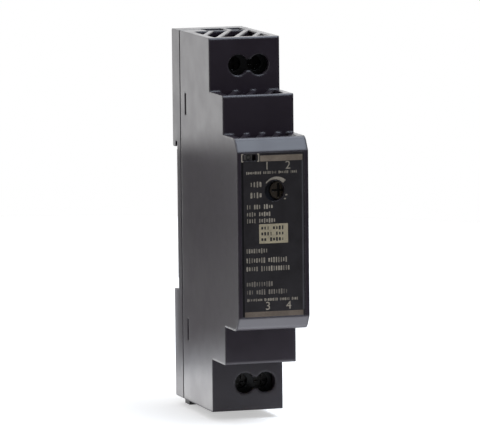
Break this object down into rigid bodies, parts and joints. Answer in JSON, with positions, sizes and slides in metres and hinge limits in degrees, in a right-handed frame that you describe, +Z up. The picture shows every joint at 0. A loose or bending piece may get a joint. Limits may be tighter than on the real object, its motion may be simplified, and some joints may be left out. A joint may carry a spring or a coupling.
{
  "type": "din rail power supply",
  "caption": "Slim stepped power supply that snaps onto a 35 mm rail: slanted vents, lift-clamp screw terminals at both ends, front adjuster, lamp window and sprung latch.",
  "frame": {"origin": "middle of the rear seat that bears on the front of the rail's two lips, at the rail's centre line and mid-width", "axes": "+Z up across the rail, -Y out of the front towards the user, +X along the rail to the right as seen from the front"},
  "size_m": [0.0176, 0.0545, 0.0921],
  "materials": {
    "housing_plastic": "satin moulded plastic, bluish dark grey",
    "cover_plastic": "satin moulded plastic, bluish dark grey",
    "label_film": "printed film, near black with pale tan print",
    "latch_plastic": "satin moulded plastic, dark grey",
    "spring_steel": "bare spring wire",
    "circuit_board": "green solder mask over glass laminate",
    "terminal_plastic": "moulded, near black",
    "contact_brass": "tinned brass strip",
    "pot_case": "moulded, blue",
    "pot_rotor": "moulded, pale grey",
    "lamp_lens": "cloudy clear epoxy",
    "fuse_case": "moulded, black",
    "ntc_coating": "dipped coating, dark green",
    "film_capacitor_case": "moulded box, yellow",
    "ferrite": "ground ferrite, charcoal",
    "copper_wire": "enamelled copper wire",
    "chip_package": "moulded epoxy, black",
    "input_capacitor_sleeve": "shrink sleeve, dark blue",
    "bobbin_plastic": "moulded, black",
    "winding_tape": "polyester tape, yellow",
    "disc_capacitor_coating": "dipped coating, blue",
    "optocoupler_package": "moulded, off-white",
    "sink_aluminium": "extruded, bare",
    "output_capacitor_sleeve": "shrink sleeve, black",
    "chip_ceramic": "fired ceramic",
    "screw_steel": "zinc-plated steel",
    "cage_steel": "zinc-plated steel"
  },
  "bodies": {
    "case": {"front_housing": "housing_plastic", "rear_cover": "cover_plastic", "front_label": "label_film", "latch_spring": "spring_steel", "main_pcb": "circuit_board", "output_terminal_body": "terminal_plastic", "input_terminal_body": "terminal_plastic", "output_contacts": "contact_brass", "input_contacts": "contact_brass", "trim_pot_body": "pot_case", "status_led": "lamp_lens", "fuse": "fuse_case", "ntc_thermistor": "ntc_coating", "x_capacitor": "film_capacitor_case", "choke_core": "ferrite", "choke_windings": "copper_wire", "bridge_rectifier": "chip_package", "bulk_capacitor_1": "input_capacitor_sleeve", "bulk_capacitor_2": "input_capacitor_sleeve", "switching_ic": "chip_package", "transformer_core": "ferrite", "transformer_bobbin": "bobbin_plastic", "transformer_winding": "winding_tape", "y_capacitor": "disc_capacitor_coating", "optocoupler": "optocoupler_package", "shunt_regulator": "chip_package", "rectifier_diode": "chip_package", "diode_heat_sink": "sink_aluminium", "output_inductor": "ferrite", "output_capacitor_1": "output_capacitor_sleeve", "output_capacitor_2": "output_capacitor_sleeve", "chip_parts": "chip_ceramic"},
    "latch": {"din_latch": "latch_plastic"},
    "dial_rotor": {"trim_pot_rotor": "pot_rotor"},
    "output_screw_left": {"output_screw_left": "screw_steel"},
    "output_cage_left": {"output_cage_left": "cage_steel"},
    "output_screw_right": {"output_screw_right": "screw_steel"},
    "output_cage_right": {"output_cage_right": "cage_steel"},
    "input_screw_left": {"input_screw_left": "screw_steel"},
    "input_cage_left": {"input_cage_left": "cage_steel"},
    "input_screw_right": {"input_screw_right": "screw_steel"},
    "input_cage_right": {"input_cage_right": "cage_steel"}
  },
  "joints": [
    {"name": "latch_slide", "type": "slide", "parent": "case", "child": "latch", "axis": [0, 0, -1], "range_m": [0, 0.003], "stiffness_N_per_m": 1500, "springref_m": -0.002, "deforming": ["latch_spring"]},
    {"name": "dial_turn", "type": "hinge", "parent": "case", "child": "dial_rotor", "pos_m": [0.00189, -0.0493, 0.01035], "axis": [0, 1, 0], "range_deg": [-130, 130]},
    {"name": "output_screw_left_turn", "type": "hinge", "parent": "case", "child": "output_screw_left", "pos_m": [-0.00151, -0.0215, 0.0383], "axis": [0, 1, 0], "range_deg": [0, 1605]},
    {"name": "output_cage_left_lift", "type": "slide", "parent": "case", "child": "output_cage_left", "axis": [0, -1, 0], "range_m": [0, 0.002]},
    {"name": "output_screw_right_turn", "type": "hinge", "parent": "case", "child": "output_screw_right", "pos_m": [0.00364, -0.0215, 0.0383], "axis": [0, 1, 0], "range_deg": [0, 1605]},
    {"name": "output_cage_right_lift", "type": "slide", "parent": "case", "child": "output_cage_right", "axis": [0, -1, 0], "range_m": [0, 0.002]},
    {"name": "input_screw_left_turn", "type": "hinge", "parent": "case", "child": "input_screw_left", "pos_m": [-0.00065, -0.0215, -0.0383], "axis": [0, 1, 0], "range_deg": [0, 1605]},
    {"name": "input_cage_left_lift", "type": "slide", "parent": "case", "child": "input_cage_left", "axis": [0, -1, 0], "range_m": [0, 0.002]},
    {"name": "input_screw_right_turn", "type": "hinge", "parent": "case", "child": "input_screw_right", "pos_m": [0.00449, -0.0215, -0.0383], "axis": [0, 1, 0], "range_deg": [0, 1605]},
    {"name": "input_cage_right_lift", "type": "slide", "parent": "case", "child": "input_cage_right", "axis": [0, -1, 0], "range_m": [0, 0.002]}
  ],
  "couplings": [
    {"joint": "output_screw_left_turn", "follows": "output_cage_left_lift", "rad_per_m": 13963},
    {"joint": "output_screw_right_turn", "follows": "output_cage_right_lift", "rad_per_m": 13963},
    {"joint": "input_screw_left_turn", "follows": "input_cage_left_lift", "rad_per_m": 13963},
    {"joint": "input_screw_right_turn", "follows": "input_cage_right_lift", "rad_per_m": 13963}
  ]
}
